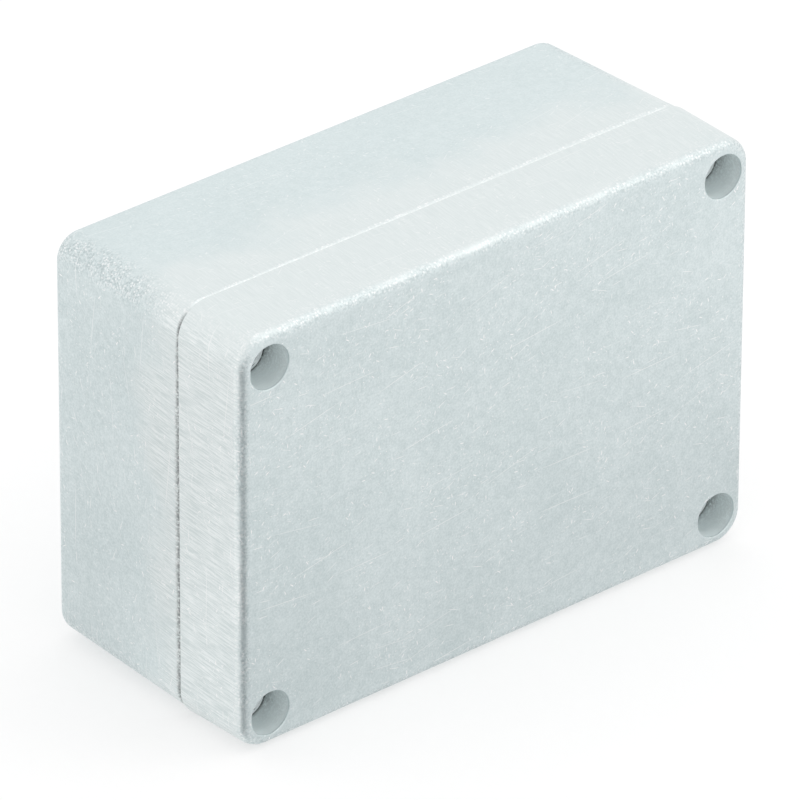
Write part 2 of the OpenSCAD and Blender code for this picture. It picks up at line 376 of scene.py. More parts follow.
@dataclass
class RoundPath:
    """The box's rounded rectangle: for each station its corner axis, outward direction and run."""

    sizes: Sizes
    corner_steps: int = 20
    straight_step: float = 2.0
    upper_range: Span = (0.3, 0.95)  # upward part of the outward direction, lower to upper side
    axis: np.ndarray = field(init=False)
    out: np.ndarray = field(init=False)
    along: np.ndarray = field(init=False)
    corner: np.ndarray = field(init=False)
    upper: np.ndarray = field(init=False)

    def __post_init__(self) -> None:
        """Lays the stations: four quarter turns about the corner axes, joined by straights."""
        x, y = self.sizes.length / 2 - self.sizes.corner, self.sizes.height / 2 - self.sizes.corner
        centres = self.sizes.at_corners(x, y)
        share = np.linspace(0, 1, self.corner_steps + 1)
        axes, angles, bend = [], [], []
        for q, centre in enumerate(centres):
            nxt = centres[(q + 1) % 4]
            count = max(2, round(float(np.abs(nxt - centre).sum()) / self.straight_step))
            run = np.linspace(0, 1, count + 1)[1:-1, None]
            axes += [np.tile(centre, (len(share), 1)), centre + (nxt - centre) * run]
            angles += [(q + share) * math.pi / 2, np.full(len(run), (q + 1) * math.pi / 2)]
            bend += [np.sin(math.pi * share), np.zeros(len(run))]
        self.axis = np.concatenate([*axes, axes[0][:1]])
        angle = np.concatenate([*angles, [0.0]])
        self.out = np.stack([np.cos(angle), np.sin(angle)], 1)
        self.corner = np.concatenate([*bend, [0.0]])
        self.upper = smooth(*self.upper_range, self.out[:, 1])
        line = self.axis + self.sizes.corner * self.out
        self.along = np.concatenate([[0], np.cumsum(np.linalg.norm(np.diff(line, axis=0), axis=1))])

    def carry(self, r: np.ndarray, z: np.ndarray, **carried: np.ndarray) -> Patch:
        """Carries a profile round the box: P(t, s) = (axis(t) + r(t, s) out(t), z(t, s)).

        Args:
            r: Distance from the corner axes, of shape (stations, profile).
            z: Height, of the same shape.
            **carried: Attributes by name, along the profile or of the same shape.

        Returns:
            The skin.
        """
        flat = self.axis[:, None] + r[..., None] * self.out[:, None]
        points = np.concatenate([flat, z[..., None]], 2)
        run = np.hypot(np.diff(r, axis=1), np.diff(z, axis=1)).cumsum(1)
        run = np.concatenate([np.zeros((len(r), 1)), run], 1)
        along = np.broadcast_to(self.along[:, None], run.shape)
        return grid_patch(points, np.stack([along, run], 2), calm=self.upper[:, None], **carried)


class Slot(Enum):
    """Material slots of the record for the rebuilt pieces; they are passed on but not applied."""

    BASE = "base_casting"
    COVER = "cover_casting"
    STEEL = "stainless_steel"


def linear(code: str) -> tuple[float, float, float, float]:
    """Linear colour of an sRGB hex code: ((c + 0.055) / 1.055)^2.4, or c / 12.92 below 0.04045."""
    c = np.array([int(code[i : i + 2], 16) for i in (1, 3, 5)]) / 255
    value = np.where(c <= 0.04045, c / 12.92, ((c + 0.055) / 1.055) ** 2.4)
    return (*value.tolist(), 1.0)


def add_node(
    tree: Tree, kind: str, inputs: dict | None = None, give: str = "", **settings: object
) -> Socket | None:
    """Adds one node.

    Args:
        tree: The material's or world's nodes.
        kind: Blender's name for the node, without its "ShaderNode".
        inputs: For each input, by name or number, a value or the output socket that feeds it.
        give: Name of the output to return; without one, the first that is in use.
        **settings: The node's own properties.

    Returns:
        The output, or None where the node has none.
    """
    node = tree.nodes.new(f"ShaderNode{kind}")
    for name, value in settings.items():
        setattr(node, name, value)
    for name, value in (inputs or {}).items():
        if isinstance(value, Socket):
            tree.links.new(value, node.inputs[name])
        else:
            node.inputs[name].default_value = value
    if give:
        return node.outputs[give]
    return next((output for output in node.outputs if output.enabled), None)


@dataclass(frozen=True)
class Noise:
    """Fractal noise with its own scale, in cycles per millimetre, along each axis."""

    scale: tuple[float, float, float]
    rough: float

    def lay(self, tree: Tree, place: Socket) -> Socket:
        """Adds the pattern: the noise at place times scale."""
        scaled = add_node(tree, "VectorMath", {0: place, 1: self.scale}, operation="MULTIPLY")
        inputs = {"Vector": scaled, "Scale": 1.0, "Detail": 4.0, "Roughness": self.rough}
        return add_node(tree, "TexNoise", inputs)


@dataclass(frozen=True)
class Marks:
    """Short straight marks, at most one in each cell of a Voronoi pattern on the surface.

    Lengths are in millimetres and angles in degrees. ``cell`` is the cells' size along and
    across the marks, ``empty`` the share of cells without one, ``swing`` how far a mark may
    turn either way from the mean direction ``lean``, and ``strength`` its brightest value.
    """

    cell: tuple[float, float]
    half_length: float
    half_width: float
    swing: float
    empty: float
    lean: float
    strength: float = 1.0

    def lay(self, tree: Tree, skin: Socket) -> Socket:
        """Adds the pattern.

        With d the way from the cell's middle, turned by the cell's own angle, the mark is
        where |dx| < half_length and |dy| < half_width, with soft edges.

        Args:
            tree: The material's nodes.
            skin: Millimetres along and across the surface.

        Returns:
            Up to strength on a mark and 0 elsewhere.
        """
        inputs = {"Vector": skin, "Angle": -math.radians(self.lean)}
        leant = add_node(tree, "VectorRotate", inputs, rotation_type="Z_AXIS")
        cells = add_node(tree, "VectorMath", {0: leant, 1: (*self.cell, 1.0)}, operation="DIVIDE")
        inputs = {"Vector": cells, "Scale": 1.0}
        middle = add_node(tree, "TexVoronoi", inputs, "Position", voronoi_dimensions="2D")
        away = add_node(tree, "VectorMath", {0: cells, 1: middle}, operation="SUBTRACT")
        away = add_node(tree, "VectorMath", {0: away, 1: (*self.cell, 0.0)}, operation="MULTIPLY")
        dice = add_node(tree, "SeparateXYZ", {"Vector": middle.node.outputs["Color"]})
        dice = dice.node.outputs
        swing = math.radians(self.swing)
        angle = add_node(tree, "MapRange", {"Value": dice["X"], "To Min": -swing, "To Max": swing})
        inputs = {"Vector": away, "Angle": angle}
        turned = add_node(tree, "VectorRotate", inputs, rotation_type="Z_AXIS")
        size = add_node(tree, "VectorMath", {0: turned}, operation="ABSOLUTE")
        size = add_node(tree, "SeparateXYZ", {"Vector": size}).node.outputs
        factors = [
            add_node(
                tree,
                "MapRange",
                {"Value": size[axis], "From Min": half, "From Max": whole * half},
                interpolation_type="SMOOTHSTEP",
            )
            for axis, half, whole in (("X", self.half_length, 0.3), ("Y", self.half_width, 0.2))
        ]
        inputs = {"Value": dice["Y"], "From Min": self.empty, "From Max": 0.85}
        mark = self.strength
        for factor in (*factors, add_node(tree, "MapRange", inputs)):
            mark = add_node(tree, "Math", {0: mark, 1: factor}, operation="MULTIPLY")
        return mark


@dataclass(frozen=True)
class Finish:
    """What every finish shares: a name, and nodes that end in one Principled shader."""

    name: str

    def material(self) -> bpy.types.Material:
        """Makes the material, or returns the one already made."""
        found = bpy.data.materials.get(self.name)
        if found:
            return found
        made = bpy.data.materials.new(self.name)
        made.use_nodes = True
        made.node_tree.nodes.clear()
        shader = self.shade(made.node_tree)
        add_node(made.node_tree, "OutputMaterial", {"Surface": shader})
        return made

    def shade(self, tree: Tree) -> Socket:
        """Adds the finish's nodes and returns its shader."""
        raise NotImplementedError

    @staticmethod
    def place(tree: Tree) -> Socket:
        """Object coordinates in millimetres."""
        where = add_node(tree, "TexCoord", give="Object")
        return add_node(tree, "Mapping", {"Vector": where, "Scale": (1 / MM,) * 3})


@dataclass(frozen=True)
class TumbledDieCast(Finish):
    """Die-cast aluminium alloy, tumbled with stones and dressed on a belt beside the joint.

    Tumbling leaves an even satin grey, mottled by the casting skin and peppered with small
    bright nicks; handling adds long hairline scratches. The belt leaves a paler band of fine
    parallel lines across the joint. Each ``_range`` is where a pattern goes from 0 to 1.
    """

    light: str = "#E8F0F1"
    dark: str = "#CAD6D7"
    dressed_light: str = "#EEF3F3"
    dressed_dark: str = "#D3DCDC"
    bored_light: str = "#F7FEFE"
    bored_dark: str = "#E9F3F4"
    struck: str = "#FEFEFE"
    pitted: str = "#A3B0B2"
    # colour of the painted shade in the joint's gap and in the bores
    soiled: str = "#24292B"
    # casting skin: grain about 0.45 mm, flecks about 1.7 mm and clouds about 16 mm across
    grain: Noise = Noise((2.2, 2.2, 2.2), 0.6)
    fleck: Noise = Noise((0.6, 0.6, 0.6), 0.6)
    cloud_scale: float = 0.06
    grain_range: Span = (0.25, 0.75)
    coarse_range: Span = (0.28, 0.72)
    calming: float = -0.5  # change of every mark and tone on the upper side
    # worn edges, broken up every 3 mm, with pits that are the grain's low spots
    gate: Noise = Noise((0.35, 0.35, 0.35), 0.5)
    gate_range: Span = (0.28, 0.52)
    pit_range: Span = (0.58, 0.4)
    pit_depth: float = 0.45
    # belt lines about 0.3 mm apart and 5.5 mm long, a little aslant; their band's edge wavers
    lines: Noise = Noise((3.4, 0.18, 1.0), 0.7)
    line_slant: float = 5.0
    line_range: Span = (0.36, 0.64)
    waver_scale: float = 0.07
    waver: float = 1.1
    band_range: Span = (0.85, 1.45)
    # nicks about 1.2 mm and specks about 0.5 mm long, both in clusters 8 mm across; scrapes
    # about 3 mm and hairline scratches about 18 mm long; knocks on the outer edges
    nicks: Marks = Marks((2.2, 2.2), 0.6, 0.16, 90.0, 0.35, 20.0)
    specks: Marks = Marks((1.1, 1.1), 0.24, 0.12, 180.0, 0.4, 0.0, 0.9)
    scrapes: Marks = Marks((7.0, 3.0), 1.6, 0.1, 30.0, 0.55, 6.0, 0.8)
    hairs: Marks = Marks((24.0, 5.0), 9.0, 0.09, 14.0, 0.35, 4.0, 0.75)
    knocks: Marks = Marks((0.7, 0.7), 0.34, 0.26, 180.0, 0.1, 0.0, 0.85)
    crowd: Noise = Noise((0.13, 0.13, 0.13), 0.5)
    crowd_range: Span = (0.4, 0.62)
    sparse_range: Span = (-0.4, 1.0)
    # cutter rings about 0.3 mm apart in the bores; the grain that breaks up the painted shade
    rings: Noise = Noise((0.12, 3.2, 1.0), 0.6)
    shade_grain_range: Span = (0.25, 0.6)
    # relief in millimetres; worn edges have five times the grain's
    relief_mm: float = 0.022
    worn_relief: float = 4.0
    mark_relief: float = -0.8
    line_relief: float = 0.6
    cast_rough: float = 0.5
    belt_rough: float = 0.42
    bored_rough: float = 0.6
    bored_metallic: float = 0.4

    def shade(self, tree: Tree) -> Socket:
        """Mixes casting skin, belt lines, cutter rings, knocks and painted shade into one metal."""
        place, skin = self.place(tree), add_node(tree, "UVMap", uv_map=SURFACE_MAP)
        wear, linish, bored, upper, soil = (
            add_node(tree, "Attribute", give="Fac", attribute_name=name) for name in CARRIED
        )
        inputs = {"Vector": skin, "Angle": math.radians(self.line_slant)}
        slant = add_node(tree, "VectorRotate", inputs, rotation_type="Z_AXIS")
        noises = (self.grain, self.fleck, self.gate, self.crowd)
        grain, fleck, gate, crowd = (noise.lay(tree, place) for noise in noises)
        lines, rings = self.lines.lay(tree, slant), self.rings.lay(tree, skin)
        cloud, waver = (
            add_node(tree, "TexNoise", {"Vector": place, "Scale": scale, "Detail": 4.0})
            for scale in (self.cloud_scale, self.waver_scale)
        )
        calm, reach = (
            add_node(tree, "Math", {0: value, 1: by, 2: more}, operation="MULTIPLY_ADD")
            for value, by, more in ((upper, self.calming, 1.0), (waver, self.waver, linish))
        )
        coarse = add_node(tree, "Mix", {"Factor": 0.35, "A": fleck, "B": cloud})
        fine, broad, broken, low, stripes, band, dense, shade_grain = (
            add_node(
                tree,
                "MapRange",
                {"Value": value, "From Min": start, "From Max": end},
                interpolation_type="SMOOTHSTEP",
            )
            for value, (start, end) in (
                (grain, self.grain_range),
                (coarse, self.coarse_range),
                (gate, self.gate_range),
                (grain, self.pit_range),
                (lines, self.line_range),
                (reach, self.band_range),
                (crowd, self.crowd_range),
                (grain, self.shade_grain_range),
            )
        )
        edge, broken_shade, still = (
            add_node(tree, "Math", {0: a, 1: b}, operation="MULTIPLY")
            for a, b in ((wear, broken), (soil, shade_grain), (calm, calm))
        )

        nicks, specks, scrapes, hairs, knocks = (
            kind.lay(tree, skin)
            for kind in (self.nicks, self.specks, self.scrapes, self.hairs, self.knocks)
        )
        inputs = {"Value": dense, "From Min": self.sparse_range[0], "From Max": self.sparse_range[1]}
        thinned = add_node(tree, "MapRange", inputs, interpolation_type="SMOOTHSTEP")
        marks = nicks
        for operation, other in (
            ("MAXIMUM", specks),
            ("MULTIPLY", thinned),
            ("MAXIMUM", scrapes),
            ("MAXIMUM", hairs),
            ("MULTIPLY", calm),
            ("MAXIMUM", add_node(tree, "Math", {0: edge, 1: knocks}, operation="MULTIPLY")),
        ):
            marks = add_node(tree, "Math", {0: marks, 1: other}, operation=operation)

        # tones of the skin, the belt's band and the bores, then one laid over the other, with the
        # painted shade last
        tone = add_node(tree, "Mix", {"Factor": 0.45, "A": fine, "B": broad})
        level = add_node(tree, "Mix", {"Factor": calm, "A": 0.5, "B": tone})
        streak = add_node(tree, "Mix", {"Factor": still, "A": 0.5, "B": stripes})
        metal, belt, turned = (
            add_node(tree, "Mix", {"Factor": share, 6: linear(a), 7: linear(b)}, data_type="RGBA")
            for share, a, b in (
                (level, self.dark, self.light),
                (streak, self.dressed_dark, self.dressed_light),
                (rings, self.bored_dark, self.bored_light),
            )
        )
        pits = add_node(tree, "Math", {0: edge, 1: low}, operation="MULTIPLY")
        pits = add_node(tree, "Math", {0: pits, 1: self.pit_depth}, operation="MULTIPLY")
        for share, over in (
            (pits, linear(self.pitted)),
            (band, belt),
            (marks, linear(self.struck)),
            (bored, turned),
            # painted shade in the joint's gap and the bores, broken up by the grain
            (broken_shade, linear(self.soiled)),
        ):
            metal = add_node(tree, "Mix", {"Factor": share, 6: metal, 7: over}, data_type="RGBA")

        worn = add_node(tree, "Math", {0: edge, 1: self.worn_relief, 2: 1.0}, operation="MULTIPLY_ADD")
        rugged = add_node(tree, "Math", {0: grain, 1: worn}, operation="MULTIPLY")
        rubbed = add_node(tree, "Math", {0: edge, 1: rugged}, operation="MULTIPLY")
        cut, combed = (
            add_node(tree, "Math", {0: value, 1: by, 2: more}, operation="MULTIPLY_ADD")
            for value, by, more in ((marks, self.mark_relief, rugged), (lines, self.line_relief, rubbed))
        )
        height = add_node(tree, "Mix", {"Factor": band, "A": cut, "B": combed})
        inputs = {"Height": height, "Strength": 1.0, "Distance": self.relief_mm * MM}
        relief = add_node(tree, "Bump", inputs)
        cast = add_node(tree, "Mix", {"Factor": band, "A": self.cast_rough, "B": self.belt_rough})
        rough = add_node(tree, "Mix", {"Factor": bored, "A": cast, "B": self.bored_rough})
        metallic = add_node(tree, "Mix", {"Factor": bored, "A": 1.0, "B": self.bored_metallic})
        inputs = {"Base Color": metal, "Metallic": metallic, "Roughness": rough, "Normal": relief}
        return add_node(tree, "BsdfPrincipled", inputs)


@dataclass(frozen=True)
class TurnedSteel(Finish):
    """Stainless steel, turned and passivated: bright, with rings left by the tool."""

    bright: str = "#FCFDFD"
    shadow: str = "#7E888B"
    # colour of the painted shade in the cross recess
    soiled: str = "#23272A"
    roughness: float = 0.5
    metallic: float = 0.8
    ring_scale: tuple[float, float, float] = (0.35, 2.6, 1.0)
    ring_range: Span = (0.38, 0.44)
    relief_mm: float = 0.02

    def shade(self, tree: Tree) -> Socket:
        """Tool rings 0.4 mm apart, drawn coarser than real ones, run along the turned surface."""
        skin = add_node(tree, "UVMap", uv_map=SURFACE_MAP)
        along = add_node(tree, "Mapping", {"Vector": skin, "Scale": self.ring_scale})
        rings = add_node(tree, "TexNoise", {"Vector": along, "Scale": 1.0, "Detail": 3.0})
        low, high = self.ring_range
        shine = add_node(tree, "MapRange", {"Value": rings, "From Min": low, "From Max": high})
        # painted shade in the cross recess
        soil = add_node(tree, "Attribute", give="Fac", attribute_name=PAINTED_SHADE)
        metal = linear(self.shadow)
        for share, over in ((shine, linear(self.bright)), (soil, linear(self.soiled))):
            metal = add_node(tree, "Mix", {"Factor": share, 6: metal, 7: over}, data_type="RGBA")
        inputs = {"Height": rings, "Strength": 1.0, "Distance": self.relief_mm * MM}
        inputs = {"Base Color": metal, "Normal": add_node(tree, "Bump", inputs)}
        inputs |= {"Metallic": self.metallic, "Roughness": self.roughness}
        return add_node(tree, "BsdfPrincipled", inputs)


@dataclass(frozen=True)
class PlainGrain(Finish):
    """A small part's finish: one colour broken by fine grain, as a dull metal or a moulding."""

    light: str
    dark: str
    roughness: float
    metallic: float
    grain_mm: float
    relief_mm: float

    def shade(self, tree: Tree) -> Socket:
        """Grain of a given size in the colour and in the relief."""
        inputs = {"Vector": self.place(tree), "Scale": 1 / self.grain_mm, "Detail": 4.0}
        grain = add_node(tree, "TexNoise", inputs)
        inputs = {"Factor": grain, 6: linear(self.dark), 7: linear(self.light)}
        colour = add_node(tree, "Mix", inputs, data_type="RGBA")
        inputs = {"Height": grain, "Strength": 1.0, "Distance": self.relief_mm * MM}
        inputs = {"Base Color": colour, "Normal": add_node(tree, "Bump", inputs)}
        inputs |= {"Metallic": self.metallic, "Roughness": self.roughness}
        return add_node(tree, "BsdfPrincipled", inputs)


# Nitrile seal, moulded: dull black with a faint bloom
MOULDED_NITRILE = PlainGrain("moulded_nitrile_rubber", "#2A2B2D", "#1B1C1D", 0.62, 0.0, 0.4, 0.01)
# Vulcanised fibre, punched: dry red-brown sheet with visible fibres
PUNCHED_FIBRE = PlainGrain("punched_vulcanised_fibre", "#9A4432", "#6E2C20", 0.7, 0.0, 0.3, 0.015)
# Brass, nickel-free and turned: warm yellow with slight tarnish
TURNED_BRASS = PlainGrain("turned_brass", "#D9BC7A", "#B9975A", 0.33, 1.0, 0.8, 0.006)
# Spring steel washer, rolled: darker and duller than the screws
ROLLED_STEEL = PlainGrain("rolled_spring_steel", "#B9BDBF", "#8E9497", 0.38, 1.0, 0.5, 0.006)
TUMBLED = TumbledDieCast("tumbled_die_cast_aluminium")
TURNED = TurnedSteel("turned_stainless_steel")


@dataclass
class Shell:
    """Collects the surfaces of one solid, welds them and makes the finished object."""

    name: str
    frame: StandingFrame
    sharp: float = 38.0  # angle from which an edge is drawn sharp, in degrees
    patches: list[Patch] = field(default_factory=list)

    def add(self, *patches: Patch) -> None:
        """Adds surfaces to the solid."""
        self.patches += patches

    def build(self, finish: Finish, slot: Slot, nodes: list[str]) -> bpy.types.Object:
        """Welds the surfaces into one closed mesh at the origin, in the row frame.

        Args:
            finish: The solid's finish.
            slot: The record's slot for it; not used.
            nodes: CAD nodes that the object stands for.

        Returns:
            The object, riding on the root body.
        """
        points = np.concatenate([p.points for p in self.patches])
        first = np.cumsum([0] + [len(p.points) for p in self.patches[:-1]])
        loops = np.concatenate([p.triangles + s for p, s in zip(self.patches, first)])
        surface = np.concatenate([p.surface for p in self.patches])
        cells = np.round(points / WELD).astype(np.int64)
        _, kept, vertex = np.unique(cells, axis=0, return_index=True, return_inverse=True)
        welded = vertex.ravel()[loops]
        whole = (welded != np.roll(welded, -1, 1)).all(1)
        loops, welded = loops[whole], welded[whole]
        mesh = bpy.data.meshes.new(self.name)
        mesh.from_pydata(self.frame.stand(points[kept]), [], welded)
        flat = surface[loops].astype(np.float32).ravel()
        mesh.uv_layers.new(name=SURFACE_MAP).uv.foreach_set("vector", flat)
        for name in CARRIED:
            value = np.concatenate([p.carried.get(name, np.zeros(len(p.points))) for p in self.patches])
            layer = mesh.attributes.new(name, "FLOAT", "CORNER")
            layer.data.foreach_set("value", value[loops].astype(np.float32).ravel())
        work = bmesh.new()
        work.from_mesh(mesh)
        bmesh.ops.recalc_face_normals(work, faces=work.faces)
        open_edges = sum(not e.is_manifold for e in work.edges)
        work.to_mesh(mesh)
        volume = work.calc_volume()
        work.free()
        mesh.shade_smooth()
        mesh.set_sharp_from_angle(angle=math.radians(self.sharp))
        mesh.materials.append(finish.material())
        made = bpy.data.objects.new(self.name, mesh)
        bpy.context.scene.collection.objects.link(made)
        weigh = made.modifiers.new("face weighted normals", "WEIGHTED_NORMAL")
        weigh.keep_sharp = True
        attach(made, "root")
        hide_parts(*nodes)
        said = self.name, len(loops), open_edges, volume / MM**3
        LOG.info("%s: %d triangles, %d open edges, %.0f mm3", *said)
        return made


@dataclass
class Casting:
    """What both castings share: the sizes, the path round the box and the cavity."""

    sizes: Sizes
    path: RoundPath
    frame: StandingFrame

    def seal_step(self, outer: float, inner: float, height: float) -> Rows:
        """The step in the joint face that holds the seal or presses on it.

        Args:
            outer: Distance of its outer wall from the cavity's wall.
            inner: Distance of its inner wall.
            height: Its height over the joint.

        Returns:
            Its outlines, from the outside inwards.
        """
        s, joint = self.sizes, self.sizes.base_depth
        corners = ((outer, 0.0), (outer, height), (inner, height), (inner, 0.0))
        return [(s.seal_line(out), joint + up) for out, up in corners]

    def cavity_rows(self, mouth: float, floor: float, draft: float) -> Rows:
        """Outlines of a drafted pocket from its mouth to its floor.

        At depth d the half sizes shrink by draft d / depth, and within the floor's round of
        radius r by r (1 - cos a) more while the depth grows by r sin a. The seal line's
        upright prism is clipped to those half sizes, so its pads stay upright.

        Args:
            mouth: Height of the joint.
            floor: Height of the pocket's floor.
            draft: Draft of each wall over the whole depth.

        Returns:
            Each outline with its height.
        """
        s = self.sizes
        depth, way = abs(floor - mouth), np.sign(floor - mouth)
        straight, bend = depth - s.floor_round, arc((0.0, 0.0), s.floor_round, 0, 90, 8)
        down = np.concatenate([np.linspace(0, straight, 5)[:-1], straight + bend[:, 1]])
        shrink = draft * down / depth + np.concatenate([np.zeros(4), s.floor_round - bend[:, 0]])
        line, halves = s.seal_line(0), s.cavity - shrink[:, None]
        return [(np.clip(line, -half, half), mouth + way * d) for half, d in zip(halves, down)]


@dataclass
class CoverCasting(Casting):
    """Cover: a shallow pan with counterbored corners and the seal groove in its joint face."""

    sink_radius: float = 4.55
    mouth_round: float = 0.32
    clear_radius: float = 2.75
    ring_radius: float = 4.2
    ring_depth: float = 1.5
    lip: float = 0.8
    groove_width: float = 1.8
    groove_depth: float = 2.2
    corner_wear: float = 0.35
    nose_wear: float = 0.8
    least_mouth: float = 0.02
    mouth_top: float = 75.0  # direction of the mouth's sharpest point, in degrees
    soil_top: float = 60.0  # direction of the bore's side with the most painted shade, in degrees
    soil_depth: float = 3.0  # distance above the head over which the painted shade fades

    def skin(self) -> Patch:
        """Outer wall from the joint's edge over the rim and the front round."""
        s = self.sizes
        front, rim, nose = s.depth, s.cover_rim_round, s.front_round
        low = arc((s.corner - rim, s.base_depth + rim), rim, -90, 0, 5)
        wall_r = np.linspace(s.corner, s.corner - s.cover_draft, 8)[1:-1]
        wall = np.stack([wall_r, np.linspace(low[-1, 1], front - nose, 8)[1:-1]], 1)
        high = arc((s.corner - s.cover_draft - nose, front - nose), nose, 0, 90, 14)
        profile, below = np.concatenate([low, wall, high]), len(low) + len(wall)
        shape = (len(self.path.axis), len(profile))
        r, z = (np.broadcast_to(part, shape) for part in profile.T)
        belt = np.concatenate([np.ones(below), np.linspace(0.9, 0.0, len(high))])
        struck = self.nose_wear * np.sin(np.linspace(0.5, math.pi, len(high)))
        edge = np.concatenate([np.zeros(below), struck])
        wear = np.maximum(self.corner_wear * self.path.corner[:, None], edge)
        return self.path.carry(r, z, wear=wear, linish=belt)

    def mouth_room(self, centre: np.ndarray) -> np.ndarray:
        """Radius of the counterbore's mouth round, all round the hole.

        Below the hole it is mouth_round and above it 0.3 of that, but never more than keeps
        the mouth on the flat face: the distance of the mouth's edge from the rectangle of the
        corner axes stays within the corner's radius less the draft and the front round.

        Args:
            centre: The hole's axis.

        Returns:
            The radius at each angle.
        """
        s, least = self.sizes, self.least_mouth
        room = np.linspace(least, self.mouth_round, 29)
        ray = np.stack([np.cos(TURN), np.sin(TURN)], 1)[:, None]
        edge = centre + (self.sink_radius + room)[:, None] * ray
        past = np.maximum(np.abs(edge) - (s.length / 2 - s.corner, s.height / 2 - s.corner), 0.0)
        reach = s.corner - s.cover_draft - s.front_round - least
        flat = np.hypot(past[..., 0], past[..., 1]) < reach
        wanted = self.mouth_round * (0.65 - 0.35 * np.cos(TURN - math.radians(self.mouth_top)))
        return np.minimum(np.where(flat, room, least).max(1), wanted)

    def screw_bore(self, centre: np.ndarray) -> Patch:
        """Counterbore, head seat, clearance hole and retaining-ring recess, front to joint.

        Painted shade is 1 beside and under the screw's head. Above it, it fades towards the front and is
        most on one side of the bore.

        Args:
            centre: The bore's axis.

        Returns:
            The bore.
        """
        s, r = self.sizes, self.mouth_room(centre)[:, None, None]
        mouth = [self.sink_radius, s.depth] + r * arc((1.0, -1.0), 1.0, 90, 180, 6)
        wall, seat, recess = 0.3, s.seat_z, s.base_depth + self.ring_depth
        down = np.linspace(s.depth - self.mouth_round - 0.2, seat + wall, 20)
        low = [[self.sink_radius, z] for z in down]
        low += arc((self.sink_radius - wall, seat + wall), wall, 0, -90, 4)[1:].tolist()
        low += [[self.clear_radius, seat], [self.clear_radius, recess]]
        low += [[self.ring_radius, recess], [self.ring_radius, s.base_depth]]
        cutter = np.repeat([0.0, 1.0], [mouth.shape[1], len(low)])
        head = s.seat_z + s.head_height
        profile = np.concatenate([mouth, np.broadcast_to(low, (len(mouth), len(low), 2))], 1)
        # painted shade: darker on one side of the bore and near the head, full beside and under it
        upper = 0.5 + 0.5 * np.cos(TURN - math.radians(self.soil_top))[:, None]
        z = profile[..., 1]
        soil = upper * (0.25 + 0.5 * (1 - smooth(head, head + self.soil_depth, z)))
        soil = np.maximum(soil * cutter, 1.0 * (z < head - 0.15))
        return turned_patch(centre, profile, bored=cutter, soil=soil)

    def build(self) -> bpy.types.Object:
        """Makes the cover."""
        s, shell = self.sizes, Shell("cover_die_casting", self.frame)
        skin, joint = self.skin(), s.base_depth
        bores = [self.screw_bore(c) for c in s.screws]
        rows = self.seal_step(self.lip + self.groove_width, self.lip, self.groove_depth)
        rows += self.cavity_rows(joint, s.depth - s.face, s.cover_draft)
        mouths, recesses = ([bore.outline(end) for bore in bores] for end in (0, -1))
        shell.add(
            skin,
            *bores,
            plate_patch([skin.outline(-1), *mouths], s.depth),
            plate_patch([skin.outline(0), *recesses, rows[0][0]], joint, linish=1.0),
            strip_patch(rows),
            plate_patch([rows[-1][0]], rows[-1][1]),
        )
        return shell.build(TUMBLED, Slot.COVER, ["cover"])


